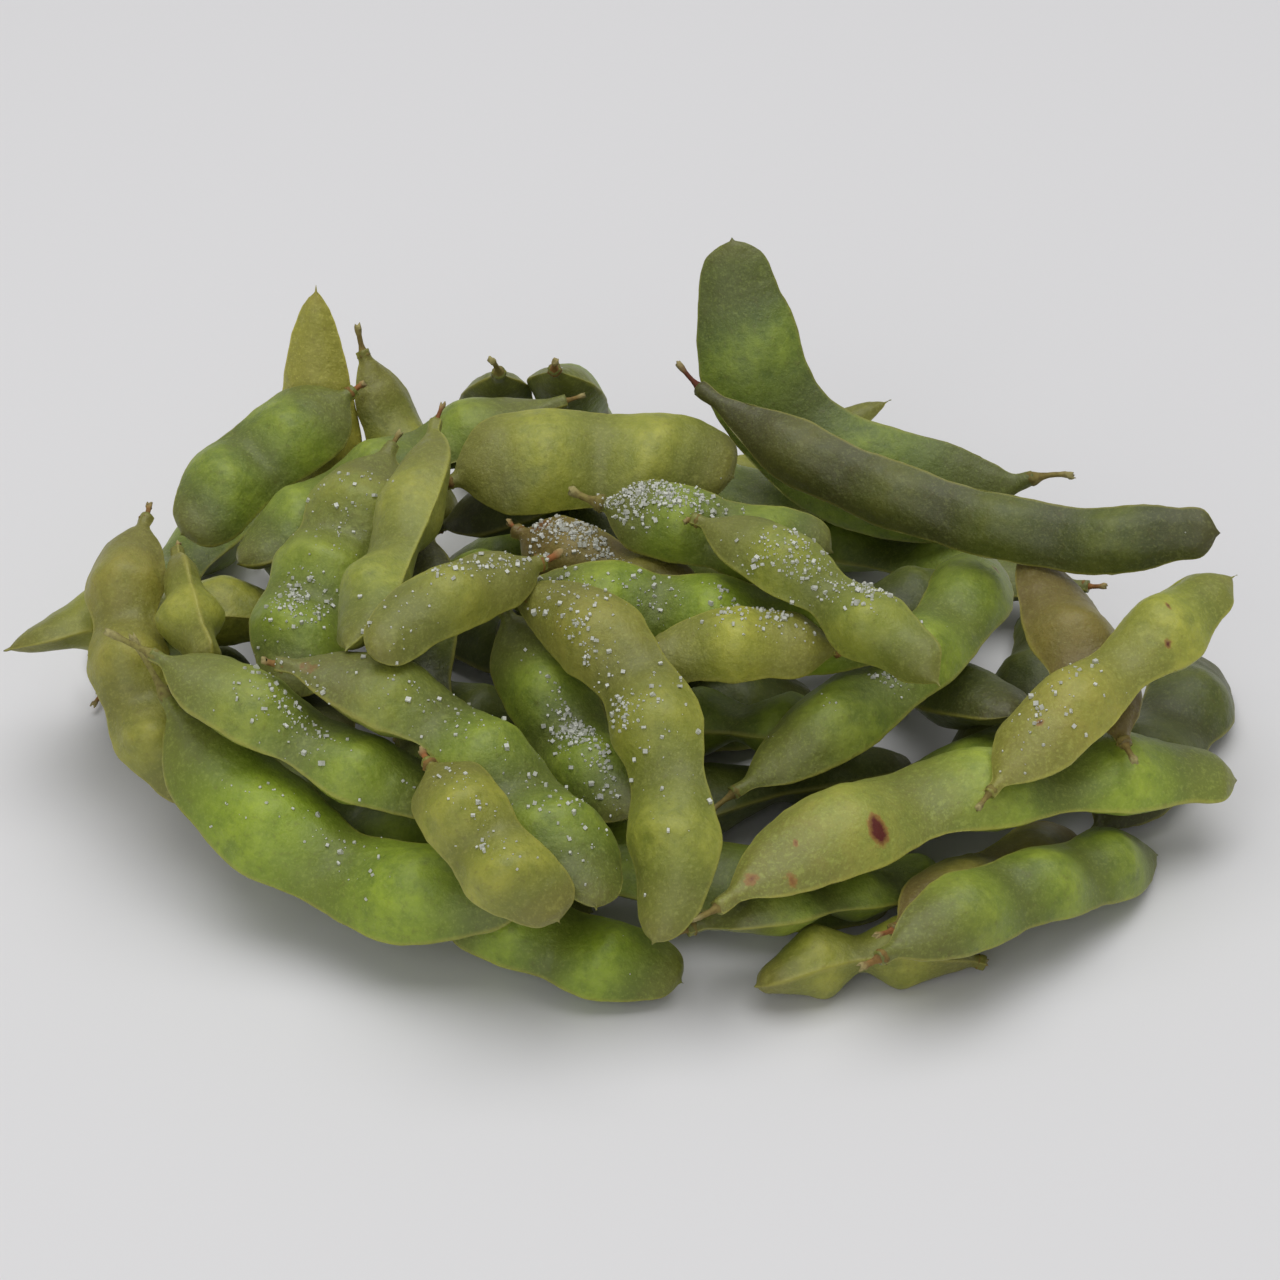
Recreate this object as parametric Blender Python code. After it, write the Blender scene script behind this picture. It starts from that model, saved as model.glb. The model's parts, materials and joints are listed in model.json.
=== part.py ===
"""A bundle of boiled soya bean pods (edamame), heaped on a flat surface.

Each pod grew as one piece, with its stalk, and is one object. The pods are laid one
after another: each is lowered at its place and tips a little until its middle lies as
low as it can, on the surface or on the pods that already lie there.
Lengths are in millimetres until a mesh is made, and angles are in degrees.
"""

import math
from dataclasses import dataclass, replace

import bmesh
import bpy
import numpy as np
from mathutils import Matrix, Vector
from mathutils.bvhtree import BVHTree

# The object
NAME = "edamame_pod_bundle"
MM = 0.001
GAP = 0.3  # between two pods that touch

# The shape that all pods share
SIDES = 8  # points round a pod, two of them on its seams
STALK_SHARE = 0.055  # of the length, the dry stalk and the calyx
STALK_RINGS = 3  # round rings, before the body's pinched ones
STALK_RADIUS = 1.0
STALK_WAIST = 0.85  # of the stalk's radius, just below the calyx
CALYX_RADIUS = 1.7
BEAK_RADIUS = 0.7
BODY_END = 0.985  # of the length; the last of it is the beak's point
NECK_SHARE = 0.20  # of the body, where the neck widens to the full width
NECK_START = 0.18  # of the full width
TIP_SHARE = 0.18  # of the body, where the far end closes
TIP_POWER = 0.55  # 0.5 closes it round, 1 to a point
FLAT_THICKNESS = 0.55  # the empty shell's thickness, as a share of the thickness at a bean
FLAT_WIDTH = 0.92  # the same for the width
BEAN_SPREAD = 0.34  # of the distance between beans, the half width of one swelling
LONE_BEAN_SPACING = 0.42  # stands for that distance in a pod of one bean
BEAN_SPANS = {  # beans in the pod: where the first and the last sit along the body
    1: (0.52, 0.52),
    2: (0.36, 0.72),
    3: (0.27, 0.80),
    4: (0.22, 0.83),
}
SEAM_SHARPNESS = 0.22  # 0 is an ellipse; more pinches the section at the seams
TIP_RISE = 0.20  # of the width, how far the beak lies towards the back seam

SPINE_STEPS = 240

# How a pod comes to rest
FIELD_SIDE = 280  # of the square over which the heap's height is kept
CELL = 0.8
SAMPLES = 4  # points along each side of a triangle, to measure heights
SLIDES = {  # the steps tried, and the most: mm, and degrees for the turn
    "turn": ((4.0, 2.0), 12.0),
    "x": ((2.5, 1.0), 7.0),
    "y": ((2.5, 1.0), 7.0),
}
TIPS = {  # degrees
    "pitch": ((8.0, 3.0), 20.0),
    "roll": ((15.0, 5.0), 30.0),
    "arch": ((12.0, 4.0), 40.0),
}
LOWER_STEP = 0.15
LEAST_GAIN = 0.01

TONES = {
    "bright": (0.205, 0.325, 0.045),
    "green": (0.150, 0.235, 0.040),
    "deep": (0.075, 0.120, 0.022),
    "olive": (0.250, 0.240, 0.055),
    "brown": (0.215, 0.175, 0.055),
}
ROUGHNESS = 0.55


@dataclass
class Pod:
    """One pod: where its middle lies, how it is turned, and its own size and shape."""

    name: str
    x: float
    y: float
    turn: float  # of the way from stalk to beak, anticlockwise from +X
    length: float
    width: float
    beans: int
    tone: str
    pitch: float = 0.0  # beak up
    roll: float = 0.0  # about its own length
    bend: float = 0.0  # along its length in the plane of its seams, to the left
    arch: float = 0.0  # along its length, middle up
    twist: float = 0.0
    thickness: float = 10.0
    tip: float = TIP_SHARE  # of the body
    rise: float = TIP_RISE  # of the width, the beak's sideways shift
    slides: float = 0.4  # the share of SLIDES that it may move as it settles
    tips: float = 1.0  # the same of TIPS


@dataclass(frozen=True)
class Pose:
    """How far a pod shifts and tips from the place it is given as it settles."""

    x: float = 0.0
    y: float = 0.0
    turn: float = 0.0
    pitch: float = 0.0
    roll: float = 0.0
    arch: float = 0.0


# From the bottom of the heap to the top
PODS = [
    # The steep pods at the back left: one with its beak up, one with its stalk up
    Pod("spire_left", -46, 31, 82, 46, 12, 1, "olive", pitch=72, tip=0.5, slides=0, tips=0),
    Pod("spire_left_stem", -36, 32, 310, 30, 10, 1, "olive", pitch=-56, slides=0, tips=0),
    # The lowest layer, flat on the surface
    Pod("base_left", -56, -14, 295, 60, 14, 3, "deep", bend=20, slides=1),
    Pod("base_left_back", -62, 14, 65, 54, 13, 2, "green", bend=-15, slides=1),
    Pod("base_front_left", -34, -44, 330, 60, 14, 3, "green", bend=25, slides=1),
    Pod("base_centre", -4, -16, 12, 62, 14, 3, "deep", bend=-15, slides=1),
    Pod("base_front", 4, -50, 352, 56, 13, 2, "green", bend=20, slides=1),
    Pod("base_back_middle", -8, 26, 175, 54, 14, 3, "green", bend=18, slides=1),
    Pod("base_right", 54, -8, 65, 60, 13, 3, "deep", bend=20, slides=1, thickness=9),
    Pod("base_right_back", 42, 26, 150, 58, 13, 2, "green", bend=-20, slides=1),
    Pod("low_right_deep", 73, -18, 60, 48, 13, 2, "deep", thickness=9),
    Pod("base_front_right", 44, -29, 25, 58, 13, 3, "green", bend=15, slides=1, thickness=9),
    # The low pods round the edge
    Pod("low_left_shadow", -60, -22, 305, 54, 13, 2, "deep", bend=15, slides=1),
    Pod("low_left_tip", -63, -10, 195, 50, 12, 2, "olive", pitch=-8),
    Pod("low_front_bright", -12, -61, 332, 36, 12, 2, "bright"),
    Pod("low_front_neck", 30, -65, 190, 32, 9, 2, "olive", slides=0.2),
    Pod("low_front_inner", 24, -58, 30, 48, 11, 3, "green", bend=15, thickness=8, slides=0.2),
    Pod("low_front_brown", 45, -54, 46, 44, 11, 2, "brown", thickness=8, slides=0.2),
    Pod("low_front_outer", 49, -58, 38, 58, 11, 3, "green", bend=-10, thickness=8, slides=0.2),
    Pod("back_olive_tip", 20, 46, 20, 42, 9, 2, "olive", pitch=20, tip=0.4, slides=0, tips=0),
    Pod("low_back_right", 28, 32, 335, 58, 13, 3, "green", bend=20, slides=1),
    Pod(
        "front_right_smooth", 42, -50, 24, 84, 14.5, 3, "green",
        roll=20, bend=-45, arch=20, slides=0.3, tips=0.6,
    ),
    Pod("hollow_front", -24, -48, 300, 44, 12, 2, "green", slides=1),
    Pod("hollow_centre", 16, -34, 20, 50, 13, 2, "deep", slides=1),
    Pod("hollow_right", 46, -12, 300, 48, 12, 2, "deep", slides=1),
    Pod("core_left", -22, 8, 330, 60, 13, 3, "deep", slides=1),
    Pod("core_right", 24, 0, 30, 60, 13, 3, "deep", slides=1),
    Pod("core_front", -26, -22, 350, 58, 13, 3, "deep", slides=1),
    Pod("core_middle", -10, 6, 78, 50, 14, 3, "deep", slides=1),
    # The back
    Pod("crest_behind", -11, 20, 2, 42, 14, 2, "deep", pitch=22, slides=0.2, tips=0.1),
    Pod("crest_stem_left", -22, 44, 96, 48, 11, 2, "green", pitch=-50, slides=0, tips=0),
    Pod("crest_stem_right", -10, 41, 80, 44, 11, 2, "green", pitch=-46, slides=0, tips=0),
    Pod(
        "leaf_pod", 28, 30, 158, 74, 16, 2, "green",
        pitch=24, roll=125, bend=110, thickness=6, tip=0.3, rise=0.42, slides=0, tips=0,
    ),
    Pod("core_back_left", -50, 10, 292, 50, 13, 2, "deep", bend=20, slides=0.4),
    Pod("left_smooth", -54, 21, 224, 36, 13, 2, "green", roll=-20, pitch=-8, slides=0.2, tips=0.3),
    Pod("back_long_green", -34, 13, 205, 56, 13, 3, "green", bend=30, pitch=-16, slides=0.2, tips=0.2),
    Pod("hollow_salted", 13, -27, 345, 36, 12, 2, "green", slides=0.2),
    # The upper left
    Pod("left_knobbly", -70, -21, 280, 50, 11, 3, "olive", roll=40, bend=45, pitch=-5),
    Pod("left_folded", -63, -20, 290, 24, 9, 1, "olive", roll=60),
    Pod("tucked_green", -20, -4, 10, 42, 11, 2, "green"),
    Pod("tucked_dark", -30, -18, 268, 36, 10, 1, "deep", pitch=-30),
    Pod("mottled_left", -45, -6, 250, 46, 14.5, 3, "green", roll=-15),
    Pod("big_yellow_green", -11, 11, -2, 42, 16, 2, "olive", roll=30, bend=-50, pitch=3, tips=0.3),
    # The front left
    Pod("front_left_smooth", -42, -51, 325, 66, 14.5, 2, "bright", bend=60),
    Pod("front_left_mottled", -47, -41, 332, 46, 12, 2, "green", roll=20),
    # The middle and the front
    Pod("middle_brown", -7, -8, 324, 30, 10, 2, "brown", roll=40, slides=0.2, tips=0.4),
    Pod("middle_salted", 8, -12, 344, 34, 11, 2, "green", roll=40, slides=0.2, tips=0.4),
    Pod("behind_rise", 60, -24, 103, 38, 12, 1, "brown", pitch=14, tip=0.5, slides=0, tips=0),
    Pod("front_hollow_rise", 33, -21, 46, 68, 12, 3, "green", pitch=24, bend=40),
    Pod("middle_long_bright", 9, -21, 346, 57, 12.5, 3, "bright", roll=20, bend=-12, pitch=-3),
    Pod("orange_stub", 15, -30, 186, 28, 10, 1, "olive", roll=-30, pitch=4),
    Pod("between_crescents", -9, -34, 292, 40, 12, 2, "green"),
    Pod("mottled_crescent", -27, -52, 326, 60, 13.5, 3, "green", pitch=-4, bend=-85),
    Pod("big_crescent", -3, -45, 292, 66, 12, 3, "olive", pitch=-10, bend=-100),
    Pod("front_small_olive", -18, -63, 300, 30, 11, 2, "olive"),
    Pod("left_stub", -23, -33, 218, 32, 10, 1, "olive", roll=-50, pitch=-8),
    Pod("slim_upright", -33, -14, 256, 48, 11, 2, "olive", pitch=-22, roll=20, slides=0),
    # The right
    Pod("twisted_olive", 21, -28, 315, 44, 10, 2, "olive", roll=20, bend=-30, pitch=-6, twist=60, tips=0.4),
    Pod(
        "long_dark", 40, -1, 332, 83, 9, 4, "deep",
        pitch=-6, roll=60, bend=40, thickness=6, tip=0.12, slides=0.1, tips=0.3,
    ),
    Pod("right_mottled", 60, -34, 42, 52, 12, 2, "olive", bend=-15, pitch=6, tips=0.3),
]


def smooth(x):
    """Runs from 0 to 1 with no corner at either end."""
    x = min(max(x, 0.0), 1.0)
    return x * x * (3 - 2 * x)


def bean_places(pod):
    """Where the beans sit along the body, from 0 at the neck to 1 at the beak."""
    first, last = BEAN_SPANS[pod.beans]
    return np.linspace(first, last, pod.beans)


def swelling(pod, u):
    """How far the beans fill the pod at u: 1 over a bean, towards 0 between two."""
    places = bean_places(pod)
    spacing = places[1] - places[0] if len(places) > 1 else LONE_BEAN_SPACING
    return max(math.exp(-(((u - place) / (BEAN_SPREAD * spacing)) ** 2)) for place in places)


def body_section(pod, u):
    """Half width, half thickness and the middle's sideways shift at u along the body."""
    neck = NECK_START + (1 - NECK_START) * smooth(u / NECK_SHARE)
    tip = max(1 - (max(u - 1 + pod.tip, 0) / pod.tip) ** 2, 0) ** TIP_POWER
    full = swelling(pod, u)
    half_width = 0.5 * pod.width * neck * tip * (FLAT_WIDTH + (1 - FLAT_WIDTH) * full)
    half_thickness = 0.5 * pod.thickness * neck**0.8 * tip * (FLAT_THICKNESS + (1 - FLAT_THICKNESS) * full)
    shift = pod.rise * pod.width * smooth((u - 1 + 2 * pod.tip) / (2 * pod.tip))
    return max(half_width, BEAK_RADIUS), max(half_thickness, BEAK_RADIUS), shift


def stations(pod):
    """The rings along a pod: (share of its length, half width, half thickness, shift).

    Three go round the stalk and its calyx, two lead into the first bean, four go from each
    bean to the next, and three close the body at the beak.
    """
    rings = [
        (0.15 * STALK_SHARE, STALK_RADIUS, STALK_RADIUS, 0.0),
        (0.65 * STALK_SHARE, STALK_WAIST * STALK_RADIUS, STALK_WAIST * STALK_RADIUS, 0.0),
        (0.85 * STALK_SHARE, CALYX_RADIUS, CALYX_RADIUS, 0.0),
    ]
    places = list(bean_places(pod))
    along = [0.04, 0.5 * places[0]]
    for here, following in zip(places, places[1:]):
        step = (following - here) / 4
        along += [here, here + step, here + 2 * step, here + 3 * step]
    if pod.beans == 1:
        along += [places[0] - LONE_BEAN_SPACING / 3]
    along += [places[-1]]
    end = 1 - 0.45 * pod.tip
    along += [0.5 * (places[-1] + end), end, 1 - 0.08 * pod.tip]
    for u in along:
        share = STALK_SHARE + (1 - STALK_SHARE) * u
        rings.append((BODY_END * share, *body_section(pod, u)))
    return rings


def spine_frames(pod, shares, more_arch):
    """The spine's points and its two cross directions, at these shares of the length."""
    fine = np.linspace(0, 1, SPINE_STEPS + 1)
    yaw = np.radians(pod.bend * (fine - 0.5))
    climb = np.radians(-(pod.arch + more_arch) * (fine - 0.5))
    ahead = np.stack([np.cos(yaw) * np.cos(climb), np.sin(yaw) * np.cos(climb), np.sin(climb)], axis=1)
    steps = 0.5 * (ahead[1:] + ahead[:-1]) * (pod.length / SPINE_STEPS)
    points = np.concatenate([[np.zeros(3)], np.cumsum(steps, axis=0)])
    points -= points.mean(axis=0)
    across = np.stack([-np.sin(yaw), np.cos(yaw), 0 * yaw], axis=1)
    up = np.cross(ahead, across)
    turn = np.radians(pod.twist * (fine - 0.5))[:, None]
    wide = across * np.cos(turn) + up * np.sin(turn)
    thick = up * np.cos(turn) - across * np.sin(turn)
    frames = []
    for share in shares:
        i = round(share * SPINE_STEPS)
        frames.append((points[i], wide[i], thick[i]))
    return frames


def shape_pod(pod, more_arch):
    """The pod's mesh about its own middle: a sphere's rings, moved out along the spine."""
    rings = stations(pod)
    shares = [0.0] + [ring[0] for ring in rings] + [1.0]
    frames = spine_frames(pod, shares, more_arch)
    mesh = bmesh.new()
    bmesh.ops.create_uvsphere(mesh, u_segments=SIDES, v_segments=len(rings) + 1, radius=1)
    for vert in mesh.verts:
        row = round(math.acos(min(max(-vert.co.z, -1), 1)) / math.pi * (len(rings) + 1))
        middle, wide, thick = frames[row]
        if row in (0, len(rings) + 1):
            shift = rings[-1][3] if row else 0.0
            vert.co = Vector(middle + shift * wide)
            continue
        _, half_width, half_thickness, shift = rings[row - 1]
        angle = math.atan2(vert.co.y, vert.co.x)
        side = math.sin(angle)
        pinch = abs(side) ** SEAM_SHARPNESS if row > STALK_RINGS else 1.0
        place = middle + wide * (shift + half_width * math.cos(angle)) + thick * half_thickness * side * pinch
        vert.co = Vector(place)
    bmesh.ops.triangulate(mesh, faces=mesh.faces)
    return mesh


def turned(pod, pose):
    """The rotation from the pod's own axes to the heap's."""
    heading = Matrix.Rotation(math.radians(pod.turn + pose.turn), 3, "Z")
    nose = Matrix.Rotation(math.radians(-pod.pitch - pose.pitch), 3, "Y")
    spin = Matrix.Rotation(math.radians(pod.roll + pose.roll), 3, "X")
    return heading @ nose @ spin


def surface_samples(mesh):
    """Points spread evenly over every triangle of the mesh."""
    mesh.verts.ensure_lookup_table()
    corners = np.array([[list(vert.co) for vert in face.verts] for face in mesh.faces])
    weights = [
        (i / SAMPLES, j / SAMPLES, 1 - (i + j) / SAMPLES)
        for i in range(SAMPLES + 1)
        for j in range(SAMPLES + 1 - i)
    ]
    return np.einsum("wk,fkc->fwc", np.array(weights), corners).reshape(-1, 3)


class Heap:
    """The pods laid so far: their height over each cell, and their surfaces."""

    def __init__(self):
        cells = int(FIELD_SIDE / CELL)
        self.height = np.zeros((cells, cells))
        self.surfaces = []

    def cells(self, points):
        index = ((points[:, :2] + FIELD_SIDE / 2) / CELL).astype(int)
        return index[:, 0], index[:, 1]

    def rest_height(self, points):
        """How high these points must be raised to lie just on the heap."""
        return (self.height[self.cells(points)] - points[:, 2]).max()

    def touches(self, mesh):
        tree = BVHTree.FromBMesh(mesh)
        return any(tree.overlap(surface) for surface in self.surfaces)

    def add(self, mesh):
        points = surface_samples(mesh)
        np.maximum.at(self.height, self.cells(points), points[:, 2])
        self.surfaces.append(BVHTree.FromBMesh(mesh))


def settle(pod, heap):
    """The pose, near the pod's own, in which its middle lies lowest on the heap."""
    points = {}

    def middle_height(pose):
        if pose.arch not in points:
            mesh = shape_pod(pod, pose.arch)
            points[pose.arch] = surface_samples(mesh)
            mesh.free()
        spun = points[pose.arch] @ np.array(turned(pod, pose)).T
        spun += (pod.x + pose.x, pod.y + pose.y, 0)
        return heap.rest_height(spun) + spun[:, 2].mean()

    moves = [
        (part, way * step)
        for part, (steps, _) in (TIPS | SLIDES).items()
        for step in steps
        for way in (1, -1)
    ]
    most = {part: limit * pod.tips for part, (_, limit) in TIPS.items()}
    most |= {part: limit * pod.slides for part, (_, limit) in SLIDES.items()}
    best = Pose()
    lowest = middle_height(best)
    moved = True
    while moved:
        moved = False
        for part, step in moves:
            pose = replace(best, **{part: getattr(best, part) + step})
            if abs(getattr(pose, part)) > most[part]:
                continue
            height = middle_height(pose)
            if height < lowest - LEAST_GAIN:
                best, lowest, moved = pose, height, True
    return best


def lay(pod, heap):
    """The pod's mesh where it comes to rest on the heap."""
    pose = settle(pod, heap)
    mesh = shape_pod(pod, pose.arch)
    bmesh.ops.transform(mesh, matrix=turned(pod, pose).to_4x4(), verts=mesh.verts)
    bmesh.ops.translate(mesh, vec=(pod.x + pose.x, pod.y + pose.y, 0), verts=mesh.verts)
    lowest = min(vert.co.z for vert in mesh.verts)
    rise = heap.rest_height(surface_samples(mesh)) + GAP
    bmesh.ops.translate(mesh, vec=(0, 0, rise), verts=mesh.verts)
    while heap.touches(mesh):
        bmesh.ops.translate(mesh, vec=(0, 0, LOWER_STEP), verts=mesh.verts)
        rise += LOWER_STEP
    while lowest + rise > LOWER_STEP and not heap.touches(mesh):
        bmesh.ops.translate(mesh, vec=(0, 0, -LOWER_STEP), verts=mesh.verts)
        rise -= LOWER_STEP
    if heap.touches(mesh):
        bmesh.ops.translate(mesh, vec=(0, 0, LOWER_STEP + GAP), verts=mesh.verts)
    else:
        bmesh.ops.translate(mesh, vec=(0, 0, -(lowest + rise)), verts=mesh.verts)
    heap.add(mesh)
    return mesh


def make_material(pod):
    """The pod's own plain skin."""
    material = bpy.data.materials.new(f"{pod.name}_skin")
    material.use_nodes = True
    shader = material.node_tree.nodes["Principled BSDF"]
    shader.inputs["Base Color"].default_value = (*TONES[pod.tone], 1)
    shader.inputs["Roughness"].default_value = ROUGHNESS
    shader.inputs["Metallic"].default_value = 0.0
    return material


def make_object(pod, mesh, shift, collection):
    """One pod as an object whose origin is the heap's, in metres."""
    bmesh.ops.translate(mesh, vec=shift, verts=mesh.verts)
    bmesh.ops.scale(mesh, vec=(MM, MM, MM), verts=mesh.verts)
    data = bpy.data.meshes.new(pod.name)
    mesh.to_mesh(data)
    mesh.free()
    data.shade_smooth()
    data.materials.append(make_material(pod))
    collection.objects.link(bpy.data.objects.new(pod.name, data))


def build():
    """Lays every pod, and moves the origin to the middle of the heap's footprint."""
    for old in list(bpy.data.objects):
        bpy.data.objects.remove(old)
    collection = bpy.data.collections.new(NAME)
    bpy.context.scene.collection.children.link(collection)
    heap = Heap()
    laid = [(pod, lay(pod, heap)) for pod in PODS]
    corners = np.array([list(vert.co) for _, mesh in laid for vert in mesh.verts])
    low, high = corners.min(axis=0), corners.max(axis=0)
    shift = Vector((-(low[0] + high[0]) / 2, -(low[1] + high[1]) / 2, -low[2]))
    for pod, mesh in laid:
        make_object(pod, mesh, shift, collection)


build()
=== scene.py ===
# %% [markdown]
# # A bundle of edamame pods
# Sixty boiled soya bean pods lie in a heap, just as they came out of the pot, with coarse
# salt on top. Each pod is a soft shell over one to four beans, with a seam along each
# edge, a dry stalk at one end and a small beak at the other. The heap's layout comes from
# the solid model, whose pods are plain and eight-sided. Here each one gets its real skin.

import json
import math
import random

import bmesh
import bpy
import numpy as np
from mathutils import Matrix, Vector
from mathutils.bvhtree import BVHTree


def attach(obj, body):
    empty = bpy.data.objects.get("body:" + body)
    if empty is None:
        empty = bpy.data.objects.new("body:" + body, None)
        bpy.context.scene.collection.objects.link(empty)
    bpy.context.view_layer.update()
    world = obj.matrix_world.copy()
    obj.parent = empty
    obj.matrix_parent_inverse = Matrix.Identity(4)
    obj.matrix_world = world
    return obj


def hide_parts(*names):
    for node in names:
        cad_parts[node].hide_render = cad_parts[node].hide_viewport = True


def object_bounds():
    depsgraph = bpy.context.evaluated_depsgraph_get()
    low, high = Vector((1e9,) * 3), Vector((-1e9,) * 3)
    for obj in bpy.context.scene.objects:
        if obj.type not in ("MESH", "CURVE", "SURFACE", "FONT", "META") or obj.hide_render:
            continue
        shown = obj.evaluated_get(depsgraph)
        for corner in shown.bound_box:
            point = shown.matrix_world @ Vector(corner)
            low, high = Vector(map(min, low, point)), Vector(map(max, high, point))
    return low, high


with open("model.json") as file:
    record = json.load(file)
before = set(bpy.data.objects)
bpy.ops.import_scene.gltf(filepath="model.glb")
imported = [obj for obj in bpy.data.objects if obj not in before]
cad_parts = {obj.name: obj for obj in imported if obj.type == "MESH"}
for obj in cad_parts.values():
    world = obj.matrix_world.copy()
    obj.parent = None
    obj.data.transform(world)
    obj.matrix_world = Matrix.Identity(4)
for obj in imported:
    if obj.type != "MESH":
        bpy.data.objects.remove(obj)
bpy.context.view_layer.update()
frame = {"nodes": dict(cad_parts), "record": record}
MM = 0.001
print("pods in the solid model:", len(frame["nodes"]))

# %% [markdown]
# Operators act on whatever is selected, so one helper leaves just one object selected,
# and another opens it in edit mode with nothing selected inside.


# %% Selecting
def only(thing):
    """Select this object and no other."""
    bpy.ops.object.select_all(action="DESELECT")
    thing.select_set(True)
    bpy.context.view_layer.objects.active = thing


def select_edges(thing, wanted):
    """In edit mode, select the edges whose two ends pass the test."""
    bpy.ops.mesh.select_mode(type="EDGE")
    bpy.ops.mesh.select_all(action="DESELECT")
    mesh = bmesh.from_edit_mesh(thing.data)
    for edge in mesh.edges:
        edge.select_set(wanted(*[end.co for end in edge.verts]))
    bmesh.update_edit_mesh(thing.data)


# %% [markdown]
# ## Reading a pod of the solid model
# Every solid pod is a stack of eight-cornered rings between two end points. Its corners
# come loose and in no order, so they are merged first. Then each step away from an end
# point reaches one more ring, which is a sure way to sort them.

# %% Gather a pod's corners in layers
SIDES = 8
WELD = 0.02 * MM


def corners_and_neighbours(node):
    """The pod's merged corners, and for each one those that an edge joins it to."""
    mesh = bmesh.new()
    mesh.from_mesh(frame["nodes"][node].data)
    bmesh.ops.remove_doubles(mesh, verts=mesh.verts, dist=WELD)
    mesh.verts.index_update()
    corners = np.array([list(vert.co) for vert in mesh.verts])
    neighbours = [{edge.other_vert(vert).index for edge in vert.link_edges} for vert in mesh.verts]
    mesh.free()
    return corners, neighbours


def layers_from(start, neighbours):
    """The corners in layers by how many edges away from start they are."""
    layers = [[start]]
    seen = {start}
    while layers[-1]:
        following = {i for here in layers[-1] for i in neighbours[here]} - seen
        layers.append(sorted(following))
        seen |= following
    return layers[:-1]


# %% [markdown]
# A layer's corners still lie in any order. Each ring is walked round from corner to corner,
# and then turned so that its first corner follows the first one of the ring before it. A
# pod has two end points, and the stalk's is the one with the smaller rings next to it.

# %% Put the rings in order
NEAR_END = 2  # the layer, counted from an end point, whose size tells stalk and beak apart


def walk_round(layer, neighbours):
    """A ring's corners in order round the pod."""
    order = [layer[0]]
    while len(order) < len(layer):
        order.append(min((neighbours[order[-1]] & set(layer)) - set(order)))
    return order


def in_line(order, before, corners, neighbours):
    """The same ring, started and turned so that each corner follows the one before it."""
    best, least = None, math.inf
    for way in (order, order[::-1]):
        for start in range(SIDES):
            turned = way[start:] + way[:start]
            if all(b in neighbours[a] for a, b in zip(before, turned)):
                apart = np.linalg.norm(corners[turned] - corners[before], axis=1).sum()
                if apart < least:
                    best, least = turned, apart
    return best


def rings_of(node):
    """The stalk's end point, the rings from stalk to beak, and the beak's end point."""
    corners, neighbours = corners_and_neighbours(node)
    for start in range(len(corners)):
        layers = layers_from(start, neighbours)
        if len(layers[-1]) == 1 and all(len(layer) == SIDES for layer in layers[1:-1]):
            near, far = layers[NEAR_END], layers[-1 - NEAR_END]
            if np.ptp(corners[near], axis=0).max() < np.ptp(corners[far], axis=0).max():
                break
    orders = [walk_round(layers[1], neighbours)]
    for layer in layers[2:-1]:
        orders.append(in_line(walk_round(layer, neighbours), orders[-1], corners, neighbours))
    return corners[layers[0][0]], corners[orders], corners[layers[-1][0]]


# %% [markdown]
# The two seams run along opposite corners. Between the beans a pod is flat, so its seams
# are the pair of corners that lie farthest apart along the whole body. The width, the
# thickness and the way to the beak are then put in right-handed order. Without that, the
# skin would come out inside out on about half of the pods.

# %% Find the seams and measure the pod's sections
STALK_RINGS = 3


def measured(node):
    """The pod's middle line and its half width and half thickness, ring by ring."""
    stalk_end, rings, beak_end = rings_of(node)
    body = rings[STALK_RINGS:]
    apart = np.linalg.norm(body[:, : SIDES // 2] - body[:, SIDES // 2 :], axis=2)
    seam = int((apart / apart.mean(axis=1, keepdims=True)).sum(axis=0).argmax())
    rings = np.roll(rings, -seam, axis=1)
    middle = rings.mean(axis=1)
    wide = (rings[:, 0] - rings[:, SIDES // 2]) / 2
    thick = (rings[:, SIDES // 4] - rings[:, 3 * SIDES // 4]) / 2
    line = np.vstack([stalk_end, middle, beak_end])
    if (np.cross(wide, thick) * (line[2:] - line[1:-1])).sum() < 0:
        thick = -thick
    reach = np.concatenate([[0], np.cumsum(np.linalg.norm(np.diff(line, axis=0), axis=1))])
    return {"line": line, "reach": reach, "wide": wide, "thick": thick}


pods = {node: measured(node) for node in sorted(frame["nodes"])}
ring_counts = [len(pod["wide"]) for pod in pods.values()]
print("rings in a pod: from", min(ring_counts), "to", max(ring_counts))

# %% [markdown]
# ## One skin for every pod
# All pods share the same build, so a single skin is modelled, as a long closed tube, and
# copies of it are laid over the solid pods. A cylinder capped with fans already has the
# right ends. Its long edges are subdivided to give it rings, which is what a loop cut does.

# %% Model the plain skin
ROUND = 44  # points round a pod
ALONG = 122  # rings from the neck to the beak


def tube(name, sides, rings):
    """A closed tube from z = 0 to 1 and of radius 1, with that many sides and rings."""
    bpy.ops.object.select_all(action="DESELECT")
    bpy.ops.mesh.primitive_cylinder_add(
        vertices=sides, radius=1, depth=1, end_fill_type="TRIFAN", location=(0, 0, 0.5)
    )
    new = bpy.context.object
    new.name = name
    only(new)
    bpy.ops.object.transform_apply(location=True, rotation=True, scale=True)
    bpy.ops.object.mode_set(mode="EDIT")
    select_edges(new, lambda a, b: abs(a.z - b.z) > 0.5)  # those that run from end to end
    bpy.ops.mesh.subdivide(number_cuts=rings - 2)
    bpy.ops.object.mode_set(mode="OBJECT")
    return new


skin = tube("pod_skin", ROUND, ALONG)
print("the skin has", len(skin.data.polygons), "faces")

# %% [markdown]
# Each point of the tube knows how far along and how far round it lies, and whether it is on
# the wall or at the middle of an end. To lay the skin over a solid pod, the pod's own
# measures are needed at any distance from the stalk, so a smooth curve is drawn through
# them, which passes through every measured ring.


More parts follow.
